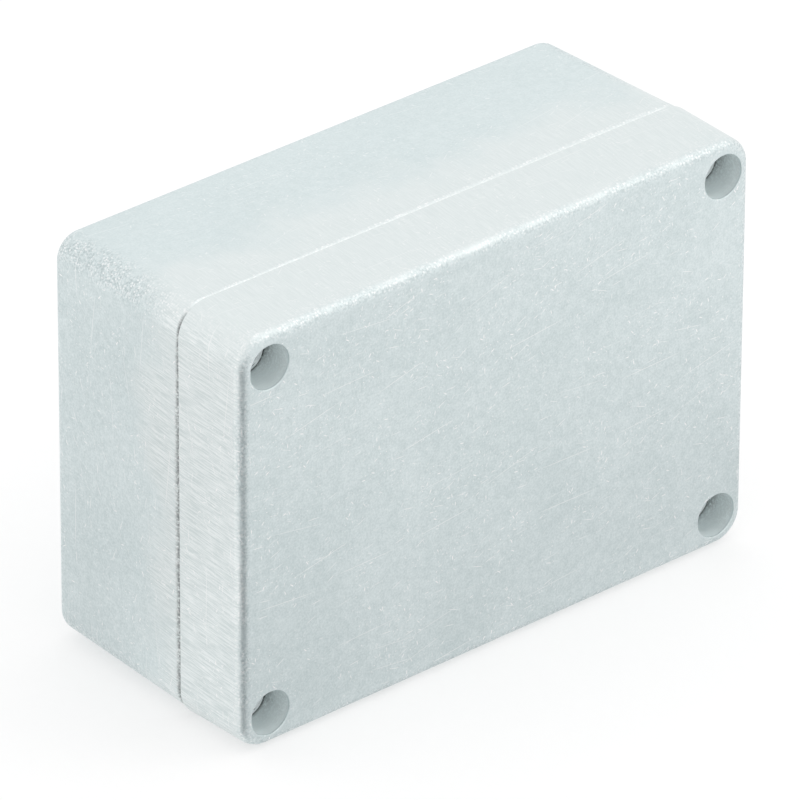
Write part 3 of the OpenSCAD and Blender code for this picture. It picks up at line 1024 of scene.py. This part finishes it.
@dataclass
class BaseCasting(Casting):
    """Base: a deep pan with tapped corners, wall fixing holes, bosses and the seal's tongue."""

    tapped_radius: float = 2.5
    fixing_radius: float = 2.4
    fixing_head_radius: float = 4.0
    fixing_seat: float = 5.0
    tongue_in: float = 1.2
    tongue_out: float = 2.2
    tongue_height: float = 0.8
    boss_radius: float = 3.8
    boss_top: float = 7.7
    boss_hole_radius: float = 2.0
    boss_hole_floor: float = 1.7
    boss_x: float = 36.0
    boss_y: float = 24.0
    earth_x: float = -48.0
    # height of the round beside the joint, dressed by hand: stations from the right end's
    # upper corner, anticlockwise as the cover is seen, with two sets of ripples; rim_reach
    # is how far inwards it may go
    rim_rounds: tuple[float, ...] = (
        *(1.7, 1.9, 1.75, 1.5, 1.25, 1.0, 1.6, 1.65),
        *(1.5, 1.1, 1.1, 1.2, 1.3, 1.2, 1.1, 1.3),
    )
    ripples: tuple[Span, ...] = ((37, 0.0), (61, 1.3))  # waves round the box, and phase
    ripple_height: float = 0.09
    rim_reach: float = 1.25
    belt_reach: float = 22.0  # width of the belt's band, and how much wider it is on top
    belt_more: float = 10.0
    back_wear: float = 0.5
    rim_wear: float = 0.8
    # strength of the painted shade in the joint's gap
    gap_soil: float = 0.7

    def skin(self) -> Patch:
        """Outer wall from the back face over the back round to the hand-dressed rim."""
        s, path = self.sizes, self.path
        top = s.corner - s.rim_step
        low = arc((top - s.base_draft - s.back_round, s.back_round), s.back_round, -90, 0, 14)
        share = path.along / path.along[-1]
        knots = np.linspace(0, 1, len(self.rim_rounds) + 1)
        rim = np.interp(share, knots, [*self.rim_rounds, self.rim_rounds[0]])
        for waves, phase in self.ripples:
            rim += self.ripple_height * np.sin(2 * math.pi * waves * share + phase)
        rim = rim[:, None]
        turn = np.radians(np.linspace(0, 90, 9))
        reach = np.minimum(rim, self.rim_reach)
        high_r = top - reach + reach * np.cos(turn)
        high_z = s.base_depth - rim + rim * np.sin(turn)
        level = np.linspace(0, 1, 14)[1:-1]
        wall_z = low[-1, 1] + (high_z[:, :1] - low[-1, 1]) * level
        wall_r = low[-1, 0] + (top - low[-1, 0]) * (wall_z - low[-1, 1]) / (s.base_depth - low[-1, 1])
        shape = (len(path.axis), len(low))
        r = np.concatenate([np.broadcast_to(low[:, 0], shape), wall_r, high_r], 1)
        z = np.concatenate([np.broadcast_to(low[:, 1], shape), wall_z, high_z], 1)
        belt = 1.0 - (s.base_depth - z) / (self.belt_reach + self.belt_more * path.upper[:, None])
        struck = path.corner[:, None] * (1.0 - 0.3 * smooth(18.0, 36.0, z))
        edge = self.back_wear * np.sin(np.linspace(0, math.pi, len(low)))
        edge = np.concatenate([edge, np.zeros(r.shape[1] - len(low))])
        wear = np.maximum(struck, edge)
        wear = np.maximum(wear, self.rim_wear * (r < top) * (z > high_z[:, :1]))
        # painted shade in the joint's gap: only on the left end, rising over the rim's round
        rise = np.clip((z - high_z[:, :1]) / rim, 0.0, 1.0)
        soil = self.gap_soil * smooth(0.5, 0.95, -path.out[:, :1]) * smooth(0.0, 0.6, rise)
        return path.carry(r, z, wear=wear, linish=belt, soil=soil)

    def fixing_bore(self, centre: np.ndarray) -> Patch:
        """Wall fixing hole from the back, with its head pocket open to the joint.

        Args:
            centre: The hole's axis.

        Returns:
            The hole.
        """
        r, head, seat = self.fixing_radius, self.fixing_head_radius, self.fixing_seat
        top = self.sizes.base_depth
        pocket = [[r, seat], [head, seat], [head, top - 0.2], [head + 0.2, top]]
        mouth = arc((r + 0.3, 0.3), 0.3, -90, -180, 5)
        return turned_patch(centre, np.concatenate([mouth, pocket]))

    def tapped_bore(self, centre: np.ndarray) -> Patch:
        """Blind tapped hole for a cover screw, countersunk at the joint, 2 mm past its tip."""
        r, top, floor = self.tapped_radius, self.sizes.base_depth, self.sizes.tip_z - 2.0
        profile = [[r + 0.3, top], [r, top - 0.3], [r, floor + 1.2], [0.0, floor]]
        return turned_patch(centre, np.array(profile), bored=1.0)

    def boss(self, centre: tuple[float, float]) -> Patch:
        """Round boss on the cavity's floor with a blind tapped hole.

        Args:
            centre: The boss's axis.

        Returns:
            The boss.
        """
        r, top = self.boss_radius, self.boss_top
        hole, floor = self.boss_hole_radius, self.boss_hole_floor
        foot = arc((r + 0.2 + 0.5, self.sizes.face + 0.5), 0.5, -90, -180, 5)
        side = [[r, top - 0.2], [r - 0.2, top], [hole + 0.3, top], [hole, top - 0.3]]
        profile = np.concatenate([foot, side, [[hole, floor], [0.0, floor]]])
        return turned_patch(np.array(centre), profile)

    def build(self) -> bpy.types.Object:
        """Makes the base."""
        s, shell = self.sizes, Shell("base_die_casting", self.frame)
        skin, joint = self.skin(), s.base_depth
        fixings = [self.fixing_bore(c) for c in s.fixings]
        tapped = [self.tapped_bore(c) for c in s.screws]
        seats = [*s.at_corners(self.boss_x, self.boss_y), (self.earth_x, 0.0)]
        bosses = [self.boss(c) for c in seats]
        mouths = [*(hole.outline(-1) for hole in fixings), *(hole.outline(0) for hole in tapped)]
        rows = self.seal_step(self.tongue_out, self.tongue_in, self.tongue_height)
        rows += self.cavity_rows(joint, s.face, s.base_draft * (joint - s.face) / joint)
        shell.add(
            skin,
            *fixings,
            *tapped,
            *bosses,
            plate_patch([skin.outline(0), *(hole.outline(0) for hole in fixings)], 0.0),
            plate_patch([skin.outline(-1), *mouths, rows[0][0]], joint, linish=1.0),
            strip_patch(rows),
            plate_patch([rows[-1][0], *(boss.outline(0) for boss in bosses)], rows[-1][1]),
        )
        return shell.build(TUMBLED, Slot.BASE, ["base"])


@dataclass
class CoverScrew:
    """Captive cheese-head screw: cross recess, thin waist and a rolled thread."""

    frame: StandingFrame
    sizes: Sizes
    head_radius: float = 4.2
    edge: float = 0.3
    waist_radius: float = 2.0
    thread_radius: float = 2.45
    pitch: float = 0.8
    point: float = 0.8
    cross_reach: float = 3.0
    cross_width: float = 1.1
    cross_depth: float = 2.2
    wing_end: float = 0.4  # share of a wing's reach over which it runs out
    wing_side: float = 0.08  # half the width over which a wing's side falls
    tooth: float = 0.45  # depth of the thread
    steps: int = 120  # straight steps round the screw

    def recess(self, x: np.ndarray, y: np.ndarray, turn: float) -> np.ndarray:
        """Depth of the cross recess under a point of the head's top.

        Each wing's depth falls from full to 0 over the last wing_end of its reach, and within
        wing_side of its sides; the two wings' depths are combined by their maximum.

        Args:
            x: The point's place, from the screw's axis.
            y: Likewise.
            turn: How far the cross is turned, in degrees.

        Returns:
            The depth there.
        """
        turn = math.radians(turn)
        a, b = x * math.cos(turn) + y * math.sin(turn), y * math.cos(turn) - x * math.sin(turn)
        half, reach = self.cross_width / 2, self.cross_reach
        low, high = half - self.wing_side, half + self.wing_side

        def wing(along: np.ndarray, across: np.ndarray) -> np.ndarray:
            """Depth of one wing."""
            fall = np.clip((reach - np.abs(along)) / (self.wing_end * reach), 0, 1)
            return self.cross_depth * fall * (1 - smooth(low, high, np.abs(across)))

        return np.maximum(wing(a, b), wing(b, a))

    def build(self, name: str, node: str, centre: np.ndarray, turn: float) -> bpy.types.Object:
        """Makes the screw.

        The whole screw is one turned grid P(a, s) = (r cos a, r sin a, z). On the head's top
        z loses the recess's depth, and on the thread r loses
        tooth |2 frac(z / pitch + a / 360) - 1|, faded in at both ends.

        Args:
            name: Name of the piece.
            node: CAD node that it stands for.
            centre: The screw's axis, in the lying box.
            turn: How far the screw is turned, in degrees.

        Returns:
            The object.
        """
        s, rim = self.sizes, self.head_radius - self.edge
        head, length, waist = s.head_height, s.screw_length, s.seat_z - s.base_depth + 2.0
        top = np.stack([np.linspace(0, rim, 37), np.full(37, head)], 1)
        tail = np.linspace(-waist, self.point - length, 108)
        side, neck = self.head_radius, self.waist_radius
        under = [[side, head - self.edge], [side, 0.15], [side - 0.15, 0.0]]
        shank = [[neck + 0.3, 0.0], [neck, -0.3], [neck, -waist]]
        thread = np.stack([np.full(len(tail), self.thread_radius), tail], 1)
        tip = [[self.thread_radius - self.point, -length], [0.0, -length]]
        profile = np.concatenate([top, under, shank, thread, tip])
        angle = np.linspace(0, 2 * math.pi, self.steps + 1)[:, None]
        z = np.broadcast_to(profile[:, 1], (len(angle), len(profile)))
        wave = np.abs(2 * ((z / self.pitch + angle / (2 * math.pi)) % 1) - 1)
        low, high = self.point - length, -waist
        fade = smooth(low - 0.1, low + 0.8, z) * (1 - smooth(high - 0.8, high + 0.1, z))
        threaded = np.abs(profile[:, 0] - self.thread_radius) < 1e-6
        r = profile[:, 0] - self.tooth * wave * fade * threaded
        x, y = r * np.cos(angle), r * np.sin(angle)
        sunk = self.recess(x, y, turn) * (np.arange(len(profile)) < len(top))
        points = np.stack([centre[0] + x, centre[1] + y, s.seat_z + z - sunk], 2)
        run = np.concatenate([[0], np.cumsum(np.linalg.norm(np.diff(profile, axis=0), axis=1))])
        surface = np.stack(np.broadcast_arrays(angle * self.head_radius, run), 2)
        shell = Shell(name, self.frame)
        # painted shade in the cross recess
        shell.add(grid_patch(points, surface, soil=smooth(0.02, 0.25, sunk)))
        return shell.build(TURNED, Slot.STEEL, [node])


@dataclass(frozen=True)
class Softbox:
    """A square studio lamp that faces the box from an azimuth and elevation."""

    name: str
    azimuth: float
    elevation: float
    distance: float
    size: float
    level: float  # radiance of its face, where 1 renders white
    colour: str = "#FFFFFF"

    def build(self, target: Vector) -> bpy.types.Object:
        """Adds the lamp: power = level pi size^2."""
        a, e = math.radians(self.azimuth), math.radians(self.elevation)
        away = Vector((math.sin(a) * math.cos(e), -math.cos(a) * math.cos(e), math.sin(e)))
        lamp = bpy.data.lights.new(self.name, "AREA")
        lamp.shape, lamp.size = "SQUARE", self.size
        lamp.energy = self.level * math.pi * self.size**2
        lamp.color = linear(self.colour)[:3]
        made = bpy.data.objects.new(self.name, lamp)
        made.location = target + away * self.distance
        made.rotation_euler = away.to_track_quat("Z", "Y").to_euler()
        bpy.context.scene.collection.objects.link(made)
        LOG.info("lamp %s at %.0f, %.0f degrees", self.name, self.azimuth, self.elevation)
        return made


@dataclass
class Studio:
    """White floor and surroundings, cards that shade the metal, soft lamps and the camera."""

    floor_size: float = 6.0
    floor_colour: str = "#FFFFFF"
    floor_glow: float = 0.5
    card_colour: str = "#808486"
    foot_glow: float = 0.78
    card_height: float = 0.0005
    front_card_depth: float = 0.045
    front_card_past: float = 0.05  # how far the front card runs past the box's right end
    end_card: tuple[Span, ...] = ((-0.08, 0.095), (-0.08, 0.125), (0.0, 0.03), (0.0, 0.005))
    fan_sweep: Span = (-4.0, -60.0)
    fan_reach: float = 0.7
    world_colour: str = "#FFFFFF"
    world_level: float = 1.03
    lamps: tuple[Softbox, ...] = (
        Softbox("key_softbox", 49.0, 44.0, 0.9, 0.45, 0.8, "#FFF6F0"),
        Softbox("top_softbox", 49.0, 75.0, 1.2, 0.8, 0.3),
    )
    azimuth: float = -40.717
    elevation: float = 30.101
    roll: float = 0.271
    distance: float = 2000.0
    aim: tuple[float, float] = (6.904, -1.29)
    lens: float = 482.4

    @staticmethod
    def sheet(name: str, corners: list[tuple], paint: bpy.types.Material) -> bpy.types.Object:
        """Adds a flat sheet, which belongs to the studio.

        Args:
            name: Its name.
            corners: Its corners, in the row frame.
            paint: Its material.

        Returns:
            The sheet.
        """
        mesh = bpy.data.meshes.new(name)
        mesh.from_pydata(corners, [], [list(range(len(corners)))])
        mesh.materials.append(paint)
        made = bpy.data.objects.new(name, mesh)
        bpy.context.scene.collection.objects.link(made)
        made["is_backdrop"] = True
        return made

    def paint(self, name: str, colour: str, glow: float) -> bpy.types.Material:
        """Matt paint; the eye, metal and glass also see a share of it glow white.

        Args:
            name: Its name.
            colour: Its colour, as an sRGB hex code.
            glow: The share that glows.

        Returns:
            The material.
        """
        made = bpy.data.materials.new(name)
        made.use_nodes = True
        tree = made.node_tree
        tree.nodes.clear()
        paint = add_node(tree, "BsdfDiffuse", {"Color": linear(colour)})
        inputs = {"Color": linear("#FFFFFF"), "Strength": 1.0}
        white = add_node(tree, "Emission", inputs)
        rays = add_node(tree, "LightPath").node.outputs
        seen = rays["Is Camera Ray"]
        for ray in ("Is Glossy Ray", "Is Transmission Ray"):
            seen = add_node(tree, "Math", {0: seen, 1: rays[ray]}, operation="MAXIMUM")
        share = add_node(tree, "Math", {0: seen, 1: glow}, operation="MULTIPLY")
        mixed = add_node(tree, "MixShader", {0: share, 1: paint, 2: white})
        add_node(tree, "OutputMaterial", {"Surface": mixed})
        return made

    def floor(self) -> None:
        """A plain pale floor, which keeps the box's soft shadow."""
        half = self.floor_size / 2
        corners = [(-half, -half, 0.0), (half, -half, 0.0), (half, half, 0.0), (-half, half, 0.0)]
        paint = self.paint("matt_white_floor", self.floor_colour, self.floor_glow)
        self.sheet("studio_floor", corners, paint)

    def card(self, name: str, corners: list[Span], glow: float = 0.0) -> None:
        """Lays a grey card on the floor, which only the metal reflects.

        Args:
            name: Its name.
            corners: Its corners on the floor.
            glow: The share of its paint that glows.
        """
        paint = self.paint(f"matt_{name}", self.card_colour, glow)
        card = self.sheet(name, [(*corner, self.card_height) for corner in corners], paint)
        for ray in ("camera", "diffuse", "shadow"):
            setattr(card, f"visible_{ray}", False)

    def fan(self, foot: Span) -> list[Span]:
        """Corners of a fan that starts at a foot and sweeps between two azimuths."""
        (x, y), reach = foot, self.fan_reach
        rays = np.radians(np.linspace(*self.fan_sweep, 5)).tolist()
        return [foot, *((x + reach * math.sin(a), y - reach * math.cos(a)) for a in rays)]

    def cards(self, low: Vector) -> None:
        """Lays the cards that shade the metal.

        Two lie beside the box's foot. The front one shades the lower part of the front. The
        slanting one lies where the base's left end mirrors the floor, and shades that end. A
        fan darkens the cover's front round where it faces the camera.

        Args:
            low: Left front corner of the cover, on the floor.
        """
        left, right = low.x, self.front_card_past - low.x
        front, near = low.y, low.y - self.front_card_depth
        corners = [(left, near), (right, near), (right, front), (left, front)]
        self.card("front_foot_card", corners, self.foot_glow)
        corners = [(left + x, y) for x, y in self.end_card]
        self.card("end_foot_card", corners, self.foot_glow)
        self.card("front_flag", self.fan((left, front)))

    def surroundings(self) -> None:
        """Even white surroundings."""
        world = bpy.data.worlds.new("white_studio")
        world.use_nodes = True
        tree = world.node_tree
        tree.nodes.clear()
        inputs = {"Color": linear(self.world_colour), "Strength": self.world_level}
        light = add_node(tree, "Background", inputs)
        add_node(tree, "OutputWorld", {"Surface": light})
        bpy.context.scene.world = world

    def camera(self, joint: Vector) -> bpy.types.Object:
        """A long lens that looks past the middle of the joint.

        The camera's axes are the rows of R = Ry(roll) Rx(elevation) Rz(-azimuth), and it
        stands at joint + R^T (-aim_x, -distance, -aim_y).

        Args:
            joint: Middle of the joint plane, in the row frame.

        Returns:
            The camera.
        """
        turn = (
            Matrix.Rotation(math.radians(self.roll), 3, "Y")
            @ Matrix.Rotation(math.radians(self.elevation), 3, "X")
            @ Matrix.Rotation(math.radians(-self.azimuth), 3, "Z")
        )
        right, ahead, up = turn[0], turn[1], turn[2]
        lens = bpy.data.cameras.new("long_lens")
        lens.lens, lens.sensor_width = self.lens, 36.0
        lens.clip_start, lens.clip_end = 0.1, 50.0
        made = bpy.data.objects.new("long_lens", lens)
        spot = joint - (right * self.aim[0] + ahead * self.distance + up * self.aim[1]) * MM
        turned = Matrix((right, up, -ahead)).transposed().to_4x4()
        made.matrix_world = Matrix.Translation(spot) @ turned
        bpy.context.scene.collection.objects.link(made)
        bpy.context.scene.camera = made
        return made

    def build(self, joint: Vector) -> None:
        """Sets up the floor, the cards, the surroundings, the lamps and the camera."""
        self.floor()
        self.cards(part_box("cover")[0])
        self.surroundings()
        for lamp in self.lamps:
            lamp.build(joint)
        self.camera(joint)


def dress_cad_node(node: bpy.types.Object, finish: Finish) -> None:
    """Gives its finish to a node that keeps its CAD solid.

    Args:
        node: The node.
        finish: Its finish.
    """
    node.data.materials.clear()
    node.data.materials.append(finish.material())
    LOG.info("%s: %s", node.name, finish.name)


def main() -> None:
    """Builds the box's pieces in order, dresses what the CAD frame keeps and sets the studio."""
    logging.basicConfig(level=logging.INFO, format="%(name)s: %(message)s")
    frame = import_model()
    sizes = Sizes()
    stand = StandingFrame.from_cad()
    path = RoundPath(sizes)
    BaseCasting(sizes, path, stand).build()
    CoverCasting(sizes, path, stand).build()
    screw = CoverScrew(stand, sizes)
    turns = {"upper_right": -14.0, "upper_left": -28.0, "lower_left": -17.0, "lower_right": -20.0}
    for (corner, turn), centre in zip(turns.items(), sizes.screws):
        screw.build(f"captive_screw_{corner}", f"cover_screw_{corner}", centre, turn)
    finishes = {
        "gasket": MOULDED_NITRILE,
        "earth_screw": TURNED_BRASS,
        "earth_washer": TURNED_BRASS,
        "earth_lock_washer": ROLLED_STEEL,
        **{f"retaining_ring_{corner}": PUNCHED_FIBRE for corner in turns},
    }
    for name, finish in finishes.items():
        dress_cad_node(frame["nodes"][name], finish)
    joint_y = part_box("cover")[1].y
    Studio().build(Vector((0.0, joint_y, stand.middle_z * MM)))
    bpy.context.scene.view_settings.view_transform = "Standard"


if __name__ == "__main__":
    main()
